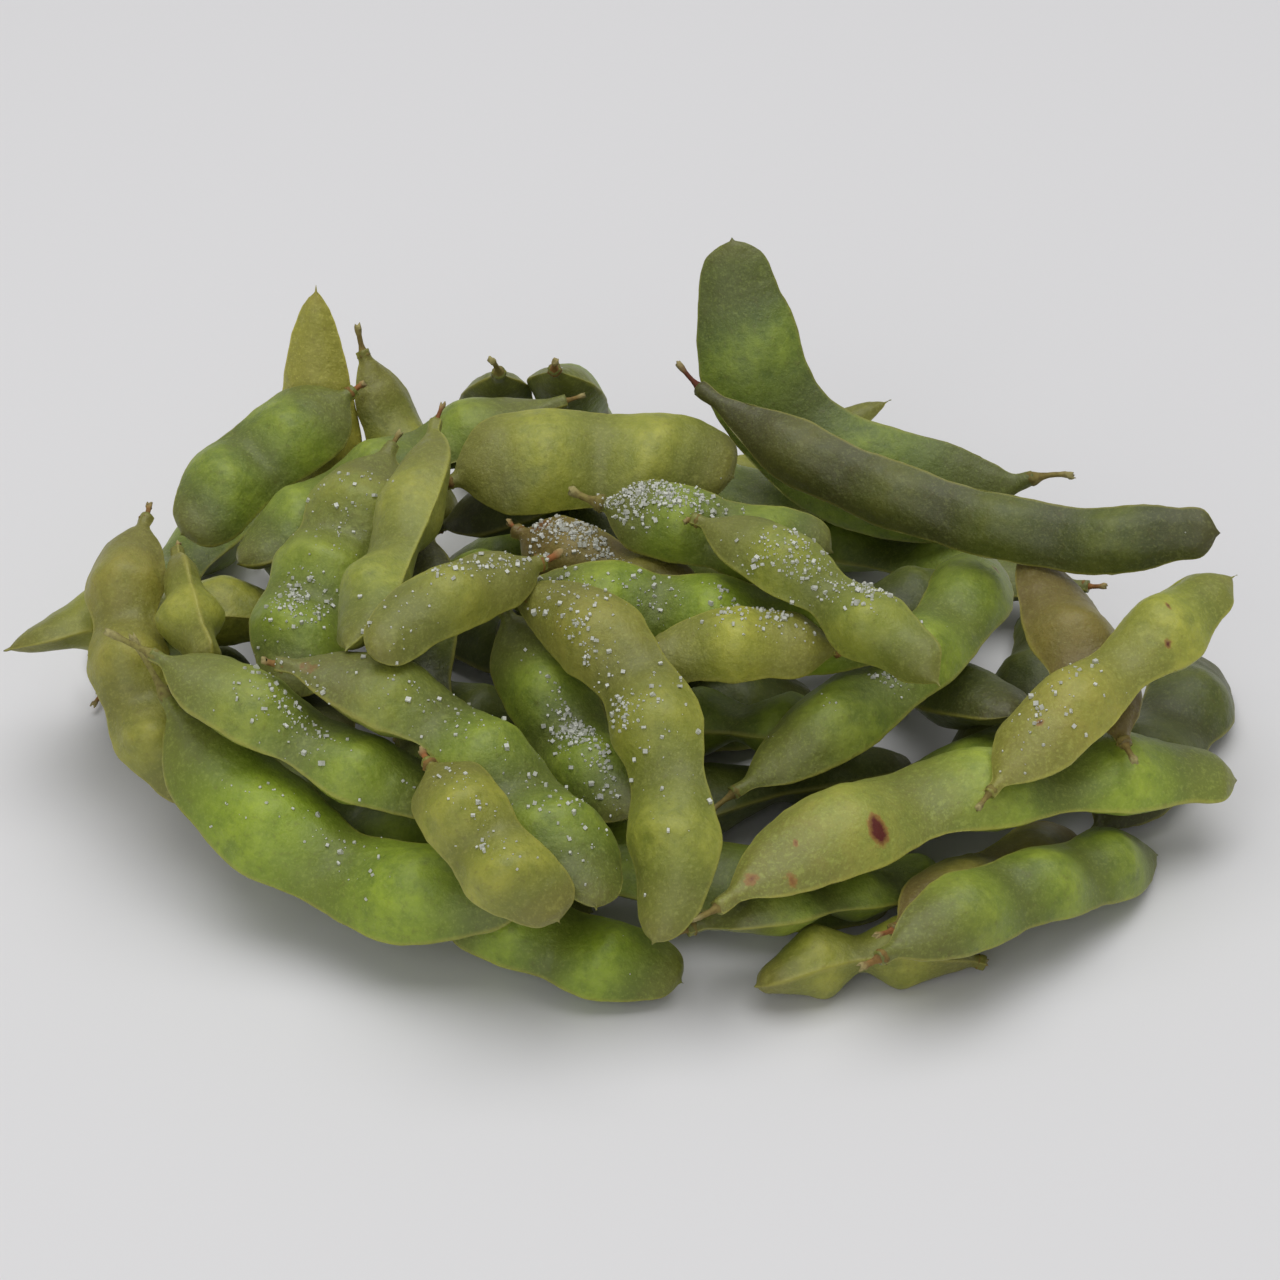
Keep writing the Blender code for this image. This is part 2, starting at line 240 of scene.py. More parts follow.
# %% Places on the tube, and smooth curves through a pod's measures
def tube_places(thing):
    """How far along each of the tube's points is, its angle round, and 1 on the wall or 0."""
    x, y, z = np.array([list(vert.co) for vert in thing.data.vertices]).T
    return z, np.arctan2(y, x), np.hypot(x, y)


def flow(known, values, wanted):
    """A smooth curve through the values at the known distances, read where it is wanted."""
    rise = np.diff(values, axis=0) / np.diff(known).reshape(-1, *[1] * (values.ndim - 1))
    slope = np.concatenate([rise[:1], (rise[1:] + rise[:-1]) / 2, rise[-1:]])
    i = np.clip(np.searchsorted(known, wanted, side="right") - 1, 0, len(known) - 2)
    step = known[i + 1] - known[i]
    x = ((wanted - known[i]) / step).reshape(-1, *[1] * (values.ndim - 1))
    step = step.reshape(x.shape)
    return (
        values[i] * (1 + 2 * x) * (1 - x) ** 2
        + values[i + 1] * x * x * (3 - 2 * x)
        + slope[i] * step * x * (1 - x) ** 2
        + slope[i + 1] * step * x * x * (x - 1)
    )


def unit(vectors):
    """The same directions, each one long."""
    return vectors / np.linalg.norm(vectors, axis=-1, keepdims=True)


# %% [markdown]
# ## The shape of a boiled pod
# The neck starts inside the dried calyx. At the other end the pod closes round, with a
# small beak standing out of it, or runs out to a point that ends in a longer beak. The
# solids end too thin for the round ones, so their last ring is broadened.

# %% How the pods end
POINTED = {
    "spire_left", "slim_upright", "front_hollow_rise", "behind_rise", "low_left_tip",
    "right_mottled", "low_front_outer", "back_olive_tip", "left_folded", "twisted_olive",
    "front_left_smooth",
}
ROUNDING = 1.45  # how much broader a round pod's last ring is than the solid's
BROADER = {"long_dark": 2.1, "front_right_smooth": 1.9, "big_yellow_green": 1.6, "leaf_pod": 1.6}
BEAK = 1.1 * MM
STUB = 0.4  # a round pod's beak, against a pointed one's

for name, pod in pods.items():
    pod["rounding"] = 1 if name in POINTED else BROADER.get(name, ROUNDING)
    pod["beak"] = BEAK if name in POINTED else BEAK * STUB
print("pods that run out to a point:", len(POINTED))

# %% [markdown]
# A pod's half width and half thickness are read between its rings. It is their squares
# that the curve is drawn through, because the square of a round end's width falls evenly
# to nothing, while the width itself ends steeply. The beak is a thin cone inside the end.

# %% A pod's section at any distance from the stalk
NECK = 1.0 * MM  # the neck's radius inside the calyx
BEAK_RADIUS = 0.45 * MM
BEAK_ROOT = 3  # how far inside the pod's end the cone starts, in lengths of the beak
BEAK_TAPER = 2  # over how many of its lengths it narrows to nothing


def sections(pod, at):
    """The pod's middle, its two directions across and its half sizes at these distances."""
    reach, line, beak = pod["reach"], pod["line"], pod["beak"]
    rings, end = reach[1:-1], reach[-1]
    half_width = np.linalg.norm(pod["wide"], axis=1)
    half_thick = np.linalg.norm(pod["thick"], axis=1)
    for half in (half_width, half_thick):
        half[-1] *= pod["rounding"]
        half[:STALK_RINGS] = NECK
    ends = np.concatenate([rings, [end, end + beak]])
    width = flow(ends, np.append(half_width, [0, 0]) ** 2, at)
    thick = flow(ends, np.append(half_thick, [0, 0]) ** 2, at)
    starting = np.clip((at - end) / beak + BEAK_ROOT, 0, 1)
    spike = BEAK_RADIUS * starting * np.clip((end + beak - at) / (BEAK_TAPER * beak), 0, 1)
    width = np.sqrt(np.clip(width, 0, None) + spike**2)
    thick = np.sqrt(np.clip(thick, 0, None) + spike**2)
    beyond = line[-1] + unit(line[-1] - line[-2]) * beak
    middle = flow(np.append(reach, end + beak), np.vstack([line, beyond]), at)
    held = np.clip(at, rings[0], rings[-1])
    wide = unit(flow(rings, unit(pod["wide"]), held))
    thin = unit(flow(rings, unit(pod["thick"]), held))
    return middle, wide, thin, width, thick


# %% [markdown]
# Between two beans the shell is empty. It draws in at the seams there, as a waist, and sags
# flat. A slack old pod does both, and a firm one hardly does either, so each pod has a
# waist of its own, and the sag follows from it. Both fade out towards the two ends.

# %% Waists between the beans
EMPTY = 0.5  # the thickness of an empty shell as a share of a bean's
WAIST = 0.07  # how much narrower a pod is between its beans
WAISTS = {
    "left_knobbly": 0.26,
    "right_mottled": 0.30,
    "twisted_olive": 0.36,
    "front_left_smooth": 0.20,
    "big_crescent": 0.20,
    "mottled_crescent": 0.15,
    "front_right_smooth": 0.17,
    "mottled_left": 0.12,
    "front_left_mottled": 0.14,
    "middle_long_bright": 0.12,
    "long_dark": 0.02,
    "left_smooth": 0.0,
    "big_yellow_green": 0.03,
    "slim_upright": 0.02,
    "left_stub": 0.02,
    "leaf_pod": 0.0,
}
SAG = (0.17, 0.45)  # how much flatter the shell is between its beans, at least and at most
SAG_BY_WAIST = 1.3
BEANS = (0.2, 0.92)  # the first and the last share of the pod that draws in
EASE = 0.12  # the share over which it starts and stops


def emptiness(fill, along):
    """1 where the shell is empty, between two beans, and 0 over a bean and at the ends."""
    starting = np.clip((along - BEANS[0]) / EASE, 0, 1)
    stopping = np.clip((BEANS[1] - along) / EASE, 0, 1)
    return (1 - fill) * starting * stopping


for name, pod in pods.items():
    pod["waist"] = WAISTS.get(name, WAIST)
    pod["sag"] = min(SAG[0] + SAG_BY_WAIST * pod["waist"], SAG[1])
print("pods that sag the most:", sum(pod["sag"] == SAG[1] for pod in pods.values()))

# %% [markdown]
# Across, a pod is a lens: round over a bean, flatter between two, with a thin flat margin
# that ends in the seam, a raised cord with a shallow groove on both sides. The tube's
# points are drawn towards the two seams, where the shape turns sharply.

# %% A pod's outline across
FULLNESS = 0.975  # of the solid pod's section, so that pods that touch don't cut each other
MARGIN = (0.16, 0.42)  # how thin the edge is between the beans, and over one
CORD = 0.34 * MM  # the seam's height
CORD_WIDTH = 0.24  # radians round the pod
GROOVE = 0.10 * MM
GROOVE_PLACE = 2.4  # how far from the seam the groove runs, in widths of the cord
FULL_CORD = 3 * MM  # half the width of a pod that has the whole cord, and a thinner end has less
TO_SEAMS = 0.3  # how strongly the points are drawn to the seams


def outline(angle, inside, fill, half_width):
    """The section's two coordinates, the cord's and groove's heights and the angle from a seam."""
    angle = angle - TO_SEAMS * np.sin(2 * angle)
    across, face = np.cos(angle), np.sin(angle)
    thinning = np.abs(face) ** (MARGIN[0] + (MARGIN[1] - MARGIN[0]) * fill)
    from_seam = np.arcsin(np.clip(np.abs(face), 0, 1))
    size = np.clip(half_width / FULL_CORD, 0, 1) * inside
    cord = CORD * np.exp(-((from_seam / CORD_WIDTH) ** 2)) * size
    groove = GROOVE * np.exp(-(((from_seam - GROOVE_PLACE * CORD_WIDTH) / CORD_WIDTH) ** 2)) * size
    return across, face, thinning, cord, groove, from_seam


# %% [markdown]
# ## What colours a pod
# No two pods are alike. Most are tanned near the stalk, some along most of their length.
# Some are greener or lighter than their tone, and spire_left is made much lighter as painted
# light, for a pod that faces the camera rather than the lamps. A few have marks where they
# were bruised or bitten. The skin's finish reads all this from values stored on its points.

# %% Tans
TAN = (0.3, 0.55)  # how far along from the stalk a pod is tanned, and how much
TANS = {
    "slim_upright": (0.7, 0.6),
    "mottled_left": (0.6, 0.8),
    "big_crescent": (0.6, 0.85),
    "mottled_crescent": (0.42, 0.8),
    "left_knobbly": (0.9, 0.75),
    "left_stub": (0.8, 0.6),
    "big_yellow_green": (0.3, 0.5),
    "right_mottled": (0.75, 1.0),
    "orange_stub": (0.5, 0.6),
    "middle_brown": (0.7, 0.8),
    "front_right_smooth": (0.55, 1.0),
    "front_left_smooth": (0.16, 0.6),
    "left_smooth": (0.3, 0.4),
    "front_left_mottled": (0.5, 0.5),
    "spire_left": (1.0, 0.4),
    "leaf_pod": (0.2, 0.4),
    "long_dark": (0.7, 0.6),
    "behind_rise": (1.2, 0.5),
}
TAN_FADE = 0.7  # below 1, so that the tan stays strong and then ends rather soon
PLAIN = (0.5, 1.0)
TINTS = {  # the hue, where 0.5 is the tone's own and more is greener, and how light
    # spire_left's lightness is painted light: it brightens a pod that faces the camera rather than
    # the lamps.
    "spire_left": (0.49, 1.75),
    "orange_stub": (0.5, 1.2),
    "front_right_smooth": (0.5, 1.38),
    "right_mottled": (0.51, 1.25),
    "front_hollow_rise": (0.5, 1.15),
    "front_left_mottled": (0.5, 1.1),
    "slim_upright": (0.515, 1.1),
    "big_yellow_green": (0.505, 1.08),
    "mottled_left": (0.5, 1.08),
    "twisted_olive": (0.515, 0.95),
    "big_crescent": (0.51, 0.98),
    "left_stub": (0.51, 1.0),
    "leaf_pod": (0.505, 0.85),
}

for name, pod in pods.items():
    pod["tan"] = TANS.get(name, TAN)
    pod["tint"] = TINTS.get(name, PLAIN)
print("pods with a tan of their own:", len(TANS), "and with a tint of their own:", len(TINTS))

# %% Marks
FRONT, TOP = (0.0, -0.8, 0.6), (0.0, -0.2, 1.0)
MARKS = {  # how far along, the side they face, half length and half width in mm, how dark
    "front_right_smooth": (
        (0.30, FRONT, 1.5, 2.4, 1.0),
        (0.10, FRONT, 1.2, 1.6, 0.5),
        (0.055, TOP, 1.4, 1.5, 0.55),
        (0.14, TOP, 0.6, 0.6, 0.6),
    ),
    "right_mottled": (
        (0.20, TOP, 0.8, 0.6, 0.7),
        (0.62, FRONT, 0.7, 0.9, 0.8),
        (0.72, TOP, 0.5, 0.5, 0.7),
    ),
    "front_hollow_rise": ((0.84, FRONT, 0.8, 0.9, 0.8),),
    "middle_brown": ((0.12, TOP, 2.6, 2.0, 0.6),),
    "mottled_crescent": ((0.05, TOP, 2.6, 1.8, 0.45),),
    "big_crescent": ((0.07, FRONT, 0.9, 0.9, 0.5),),
    "low_front_outer": ((0.85, TOP, 1.4, 1.2, 0.5),),
}
NEARBY = 0.02  # the share of the pod's length in which a mark's middle is looked for


def marks_on(pod, place, middle, at, along):
    """How dark the marks are at each point: the strongest of them, fading with distance."""
    dark = np.zeros(len(place))
    for share, facing, half_length, half_breadth, strength in pod["marks"]:
        near = np.where(np.abs(along - share) < NEARBY, (place - middle) @ np.array(facing), -1)
        centre = near.argmax()
        forward = at - at[centre]
        apart = ((place - place[centre]) ** 2).sum(axis=1)
        aside = np.sqrt(np.clip(apart - forward**2, 0, None))
        fading = -((forward / (half_length * MM)) ** 2) - (aside / (half_breadth * MM)) ** 2
        dark = np.maximum(dark, strength * np.exp(fading))
    return dark


for name, pod in pods.items():
    pod["marks"] = MARKS.get(name, ())
print("marks:", sum(len(pod["marks"]) for pod in pods.values()))

# %% [markdown]
# ## Laying the skin
# A copy of the tube gets its own mesh, and its points are moved onto the pod. The rings lie
# closer together at both ends, where a pod curves most.


# %% Copy a piece and give the copy its shape
def copied(pattern, name):
    """A copy of the piece with a mesh of its own."""
    new = pattern.copy()
    new.data = pattern.data.copy()
    new.name = new.data.name = name
    bpy.context.collection.objects.link(new)
    return new


def reshape(thing, place, **stored):
    """Move the mesh's points to their places, and store values on them for the finish."""
    thing.data.vertices.foreach_set("co", place.astype(np.float32).ravel())
    for key, values in stored.items():
        layer = thing.data.attributes.new(key, "FLOAT", "POINT")
        layer.data.foreach_set("value", values.astype(np.float32))
    thing.data.update()


# %% Lay the skin over a pod
NECK_DEPTH = 0.4 * MM  # how far the skin starts inside the calyx
TO_ENDS = 0.05  # how strongly the rings are drawn to the ends
TIP = 5 * MM  # how far from its end a pod can be browned


def lay_skin(name, pod):
    """A copy of the skin, shaped to the pod, with what its finish needs to know."""
    new = copied(skin, name)
    z, angle, inside = tube_places(new)
    start = pod["reach"][STALK_RINGS] - NECK_DEPTH
    length = pod["reach"][-1] + pod["beak"] - start
    at = start + length * (z - TO_ENDS * np.sin(2 * math.pi * z))
    along = (at - start) / length
    middle, wide, thin, half_width, half_thick = sections(pod, at)
    fullest = np.linalg.norm(pod["thick"], axis=1).max()
    fill = np.clip((half_thick / fullest - EMPTY) / (1 - EMPTY), 0, 1)
    empty = emptiness(fill, along)
    half_width = half_width * (1 - pod["waist"] * empty)
    half_thick = half_thick * (1 - pod["sag"] * empty)
    across, face, thinning, cord, groove, from_seam = outline(angle, inside, fill, half_width)
    out = wide * (np.sign(across) * cord)[:, None] - thin * (np.sign(face) * groove)[:, None]
    flat = wide * (FULLNESS * half_width * across * inside)[:, None]
    deep = thin * (FULLNESS * half_thick * face * thinning * inside)[:, None]
    place = middle + flat + deep + out
    far, tanned = pod["tan"]
    reshape(
        new, place,
        fill=fill,
        from_seam=from_seam,
        from_beak=(start + length - at) / TIP,
        tan=tanned * np.clip(1 - along / far, 0, 1) ** TAN_FADE,
        mark=marks_on(pod, place, middle, at, along),
        hue=np.full(len(place), pod["tint"][0]),
        lightness=np.full(len(place), pod["tint"][1]),
    )
    return new


# %% [markdown]
# ## Dents and wrinkles
# Boiling softens the shell, which then puckers all over. Two Displace modifiers push the
# skin in and out by a cloudy pattern: broad and shallow dents first, then fine puckers.
# They are applied at once, so that the shape is in the mesh. The lowest pods lie on the
# floor, and what they pushed below it is put back.

# %% Texture of the shell
DENTS = (9 * MM, 0.8 * MM)  # how broad, how deep
PUCKERS = (2.6 * MM, 0.30 * MM)
EVEN = 0.5  # the grey of a pattern that moves nothing


def clouds(name, breadth):
    """A cloudy pattern whose patches are that broad."""
    pattern = bpy.data.textures.new(name, "CLOUDS")
    pattern.noise_scale = breadth
    pattern.noise_depth = 2
    return pattern


relief = [(clouds("dents", DENTS[0]), DENTS[1]), (clouds("puckers", PUCKERS[0]), PUCKERS[1])]


def pucker(thing):
    """Push the skin in and out by the patterns, along its own normals."""
    only(thing)
    for pattern, depth in relief:
        push = thing.modifiers.new(pattern.name, "DISPLACE")
        push.texture = pattern
        push.texture_coords = "LOCAL"
        push.strength = depth
        push.mid_level = EVEN
        bpy.ops.object.modifier_apply(modifier=push.name)
    for vert in thing.data.vertices:
        vert.co.z = max(vert.co.z, 0)
    bpy.ops.object.shade_smooth()


# %% [markdown]
# ## Finishes
# Colours are picked as hex codes, as a painter picks them, and turned into the linear
# values that Blender computes with. Masks say how strong a colour is, so they are greys.


# %% Colours
def linear(code):
    """An sRGB hex colour as linear red, green, blue and alpha."""
    parts = [int(code[i : i + 2], 16) / 255 for i in (1, 3, 5)]
    return (*[p / 12.92 if p <= 0.04045 else ((p + 0.055) / 1.055) ** 2.4 for p in parts], 1)


def grey(level):
    """A mask's grey: 0 for nothing and 1 for the whole."""
    return (level, level, level, 1)


def stirred(share, below, above):
    """A paint that has that share of the second colour in it."""
    return tuple(a + (b - a) * share for a, b in zip(below, above))


# %% [markdown]
# One helper starts a finish with the values that are the same all over it. The other adds a
# node and gives each of its sockets a value or another node's output.


# %% Materials and their nodes
def finish(name, **values):
    """A new material whose shader has these values all over."""
    material = bpy.data.materials.new(name)
    material.use_nodes = True
    for key, value in values.items():
        socket = material.node_tree.nodes["Principled BSDF"].inputs[key.replace("_", " ")]
        socket.default_value = value
    return material


def add(tree, kind, sockets=None, stops=(), **settings):
    """Add a node with its settings, what goes into its sockets, and a ramp's colours."""
    node = tree.nodes.new(kind)
    for key, value in settings.items():
        setattr(node, key, value)
    for key, value in (sockets or {}).items():
        if isinstance(value, bpy.types.NodeSocket):
            tree.links.new(value, node.inputs[key])
        else:
            node.inputs[key].default_value = value
    for _ in stops[2:]:
        node.color_ramp.elements.new(0.5)
    for stop, (place, colour) in enumerate(stops):
        node.color_ramp.elements[stop].position = place
        node.color_ramp.elements[stop].color = colour
    return node


RAMP, MATH, MIX = "ShaderNodeValToRGB", "ShaderNodeMath", "ShaderNodeMix"
NOISE, BUMP, STORED_VALUE = "ShaderNodeTexNoise", "ShaderNodeBump", "ShaderNodeAttribute"
AMOUNT, BELOW, ABOVE, MIXED = 0, 6, 7, 2  # the sockets of a Mix node that mixes colours

# %% [markdown]
# The skin of a boiled pod is a soft green, waxy underneath with short hairs on top, which
# gives it a satin look and a pale sheen at its edges. It is wet from the pot, so a thin
# coat of water shines on it here and there. A little light passes through the shell and
# comes out again beside the place where it went in.

# %% The sizes of the patterns, and the shine
PATTERNS = {  # the size in mm, the detail and the roughness of each cloudy pattern
    "drift": (13, 3, 0.5),  # slow change of tone along a pod
    "mottle": (2.6, 6, 0.65),  # paler patches over the beans
    "ragged": (1.3, 4, 0.7),  # the uneven edge of a mark
    "speckle": (0.9, 3, 0.6),  # freckles
    "hair": (0.4, 3, 0.5),  # drawn coarser than real hairs, which would be too fine to show
}
STORED = ("fill", "from_seam", "from_beak", "tan", "mark", "hue", "lightness")
BUMPS = (  # the pattern, its strength, and its depth in mm
    ("hair", 0.45, 0.10),
    ("speckle", 0.6, 0.16),
    ("mottle", 0.6, 0.55),
)
SMOOTH, DULL = 0.38, 0.60  # the roughness of the smoothest patches and of the dullest
SHINE = {
    "IOR": 1.45,
    "Specular_IOR_Level": 0.5,
    "Coat_Weight": 0.18,  # water
    "Coat_Roughness": 0.33,
    "Sheen_Weight": 0.07,  # the short hairs
    "Sheen_Roughness": 0.5,
    "Sheen_Tint": linear("#c8cc90"),
    "Subsurface_Weight": 0.10,
    "Subsurface_Radius": (0.9, 1.1, 0.3),  # green light goes farthest in a green shell
    "Subsurface_Scale": 1.0 * MM,
}
print("patterns in the skin:", list(PATTERNS))


# %% The skin's patterns and relief
def skin_patterns(tree):
    """Every pattern and every stored value that the skin's colour is made from."""
    place = add(tree, "ShaderNodeTexCoord").outputs["Object"]
    sources = {}
    for key, (size, detail, roughness) in PATTERNS.items():
        look = {"Vector": place, "Scale": 1 / (size * MM), "Detail": detail, "Roughness": roughness}
        sources[key] = add(tree, NOISE, look).outputs["Fac"]
    for key in STORED:
        sources[key] = add(tree, STORED_VALUE, attribute_name=key).outputs["Fac"]
    return sources


def skin_relief(tree, sources):
    """Fine bumps from the patterns, and the skin's uneven roughness."""
    normal = {}
    for key, strength, depth in BUMPS:
        look = {"Height": sources[key], "Strength": strength, "Distance": depth * MM}
        normal = {"Normal": add(tree, BUMP, look | normal).outputs["Normal"]}
    look = {"Value": sources["mottle"], "To Min": SMOOTH, "To Max": DULL}
    return normal["Normal"], add(tree, "ShaderNodeMapRange", look).outputs["Result"]


# %% [markdown]
# The colour is laid on coat by coat, each through its own mask. Over a bean the skin is
# paler, yellower and mottled, partly its own mottle and partly painted highlight on the
# bulge. It is tanned towards the stalk and brown at the beak. Where it sinks in, between
# the beans and at the thin ends, it is duller and darker, partly painted shade. The seam is
# a thin pale line. Then come freckles, a bloom of wax and hairs, and the marks, brown at
# their edge and dark red inside. A mask is a ramp: the table says what it is read from, and
# how strong it is at which values.

# %% The skin's masks
MARK_EDGE = 0.6  # how far the ragged pattern moves the edge of a mark
MASKS = {
    "green_part": ("drift", (0.34, 0), (0.66, 1)),
    "patches": ("mottle", (0.34, 0.25), (0.72, 0.95)),
    "over_bean": ("fill", (0.25, 0.1), (0.95, 1)),
    "weathered": ("mottle", (0.25, 0.55), (0.65, 1)),
    "tip": ("from_beak", (0.1, 0.7), (0.9, 0)),
    # painted shade: darker where the shell is thin, between the beans and at the ends
    "sunken_painted_shade": ("fill", (0, 0.65), (0.8, 0)),
    "seam": ("from_seam", (0.08, 0.5), (0.24, 0)),
    "freckles": ("speckle", (0.56, 0), (0.74, 0.3)),
    "wax": ("speckle", (0.30, 0.3), (0.44, 0)),
    "hairs": ("hair", (0.54, 0), (0.70, 0.3)),
    "sore": ("mark_edge", (0.62, 0), (0.74, 0.7), (1, 1)),
}
PAIRS = {  # masks made of two
    # pale: the paler coat over the beans, partly the shell's own mottle and partly painted
    # highlight on the bulges
    "pale": ("MULTIPLY", "patches", "over_bean"),
    "tanned": ("MULTIPLY", "tan", "weathered"),
    "browned": ("MAXIMUM", "tanned", "tip"),
    "bloom": ("MAXIMUM", "wax", "hairs"),
}
print("masks:", len(MASKS) + len(PAIRS))

# %% The skin's coats
SEAM, FRECKLE, WAX = linear("#a39d4b"), linear("#5c5228"), linear("#a9ab74")
SORE = ((0.7, linear("#84582f")), (1, linear("#4c170e")))
# The sunken colour, a darker mix of the dark and tan paints, is painted shade.
TAN_SHARE, WAX_SHARE = 0.4, 0.35  # of the tan in the sunken colour, of the wax in the bloom
VIVID = 1.05  # a little more saturated than the paints


def skin_colour(tree, sources, green, pale, dark, tan):
    """The skin's colour, coat over coat with painted highlight and shade, in the pod's set hue and
    lightness.
    """
    edge = {0: sources["ragged"], 1: MARK_EDGE, 2: sources["mark"]}
    sources["mark_edge"] = add(tree, MATH, edge, operation="MULTIPLY_ADD").outputs["Value"]
    for key, (source, *stops) in MASKS.items():
        stops = [(place, grey(level)) for place, level in stops]
        sources[key] = add(tree, RAMP, {"Fac": sources[source]}, stops).outputs["Color"]
    for key, (operation, first, second) in PAIRS.items():
        pair = {0: sources[first], 1: sources[second]}
        sources[key] = add(tree, MATH, pair, operation=operation).outputs["Value"]
    sore = add(tree, RAMP, {"Fac": sources["mark_edge"]}, SORE).outputs["Color"]
    colour = dark
    for mask, coat in (
        ("green_part", green),
        # the pale coat over the beans is partly painted highlight
        ("pale", pale),
        ("browned", tan),
        # painted shade where the skin sinks in
        ("sunken_painted_shade", stirred(TAN_SHARE, dark, tan)),
        ("seam", SEAM),
        ("freckles", FRECKLE),
        ("bloom", stirred(WAX_SHARE, pale, WAX)),
        ("sore", sore),
    ):
        mix = {AMOUNT: sources[mask], BELOW: colour, ABOVE: coat}
        colour = add(tree, MIX, mix, data_type="RGBA").outputs[MIXED]
    own = {"Hue": sources["hue"], "Value": sources["lightness"], "Saturation": VIVID}
    return add(tree, "ShaderNodeHueSaturation", own | {"Color": colour}).outputs["Color"]


# %% [markdown]
# Five tones of the skin stand for pods that were more or less ripe. The solid model says
# which pod has which.

# %% The five tones
# The pale paint lies over the beans and is partly painted highlight on their bulges.
TONES = {  # green, pale, dark, tan
    "pod_bright": ("#72882c", "#a0b43f", "#566b26", "#857a3c"),
    "pod_green": ("#6b7e2f", "#98a842", "#4d6026", "#82773f"),
    "pod_deep": ("#4d5922", "#69712d", "#38421b", "#5b512c"),
    "pod_olive": ("#7f8631", "#abaa4a", "#636c2b", "#887a40"),
    "pod_brown": ("#777236", "#8f8840", "#615f30", "#80633c"),
}


def pod_skin(name, *paints):
    """One tone of the skin of a boiled pod: hairy, waxy and wet."""
    material = finish(name, **SHINE)
    tree = material.node_tree
    sources = skin_patterns(tree)
    normal, roughness = skin_relief(tree, sources)
    shader = tree.nodes["Principled BSDF"]
    tree.links.new(skin_colour(tree, sources, *paints), shader.inputs["Base Color"])
    tree.links.new(roughness, shader.inputs["Roughness"])
    tree.links.new(normal, shader.inputs["Normal"])
    return material


skins = {slot: pod_skin(f"{slot}_skin", *map(linear, codes)) for slot, codes in TONES.items()}
slot_of = {part["node"]: part["material_slot"] for part in frame["record"]["subparts"]}
print("pods of each tone:", {slot: list(slot_of.values()).count(slot) for slot in skins})

# %% Lay a skin over every pod
finished = {}
for name, pod in pods.items():
    body = lay_skin(f"{name}_pod", pod)
    pucker(body)
    body.data.materials.append(skins[slot_of[name]])
    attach(body, "root")
    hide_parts(name)
    finished[name] = body
print("faces in the pods:", sum(len(body.data.polygons) for body in finished.values()))

# %% [markdown]
# ## The dried stalks
# Where a pod was pulled from its plant, a short stalk is left, thin and brown, with the
# small cup of the calyx at the pod's neck. It is one more tube, modelled once: waisted,
# flared at its torn end, and laid along each pod's stalk with a curl of its own. The
# longest and the most curled ones are listed, and the rest are left to chance.

# %% Model one stalk
STALK_SIDES = 12
STALK_LENGTHS = 17
PROFILE = (  # along the stalk from its torn end, and the radius in mm
    (0.0, 0.62), (0.1, 0.70), (0.25, 0.48), (0.5, 0.50),
    (0.66, 0.72), (0.8, 1.25), (0.88, 1.35), (1.0, 0.9),
)
stalk_tube = tube("stalk", STALK_SIDES, STALK_LENGTHS)
print("the stalk has", len(stalk_tube.data.polygons), "faces")

# %% How long, curled, thick and dry the stalks are
PALE, RED = 0.0, 1.0
STALKS = {  # mm beyond the solid one, mm of curl, thickness, dryness, and which way it leans
    "front_left_smooth": (3.5, 3.2, 0.75, PALE, (-0.6, 0.2, 1.0)),
    "front_left_mottled": (2.5, 2.6, 0.75, PALE, (-1.0, 0.0, 0.6)),
    "left_stub": (2.2, 0.8, 0.95, 0.75, (0.3, 0.0, 1.0)),
    "orange_stub": (2.6, 1.2, 0.95, 0.75, (0.4, 0.0, 1.0)),
    "long_dark": (1.0, 1.2, 0.7, RED, (0.0, 0.0, 1.0)),
    "leaf_pod": (2.6, 2.2, 0.85, 0.25, (0.3, 0.0, -1.0)),
    "slim_upright": (1.4, 0.6, 0.6, 0.85, (1.0, 0.0, 0.2)),
    "middle_brown": (0.6, 0.8, 0.7, 0.8, (0.3, 0.0, 1.0)),
    "middle_salted": (2.6, 0.9, 1.0, 0.2, (0.0, 0.3, 1.0)),
    "crest_stem_left": (2.2, 1.4, 0.8, 0.2, (-1.0, 0.0, 0.4)),
    "crest_stem_right": (1.0, 0.8, 0.8, 0.6, (0.6, 0.0, 0.4)),
    "spire_left_stem": (1.6, 1.6, 0.8, 0.35, (0.2, 0.0, 1.0)),
    "tucked_dark": (2.0, 1.0, 0.8, 0.2, (0.5, 0.0, 1.0)),
}
LONGER = (0, 1.2)  # and the same for the stalks that are left to chance
CURL = (0.2, 1.1)
THICKNESS = (0.6, 0.85)
DRYNESS = (0.2, 0.75)


def kind_of_stalk(name, chance):
    """The stalk's measures. Chance is asked every time, so that one pod can't change the next."""
    lean = [chance.gauss(0, 1) for _ in range(3)]
    usual = [chance.uniform(*span) for span in (LONGER, CURL, THICKNESS, DRYNESS)]
    return STALKS.get(name, (*usual, lean))


# %% Lay a stalk along the pod's own
CALYX = 0.9 * MM  # how far the calyx reaches over the pod's neck
RIDGES, RIDGE_HEIGHT, RIDGE_TWIST = 5, 0.10, 3
TEETH, TOOTH = 3, 0.35 * MM
TORN = 0.1  # the share of the stalk that is torn
ANY_TURN = (0, 6)


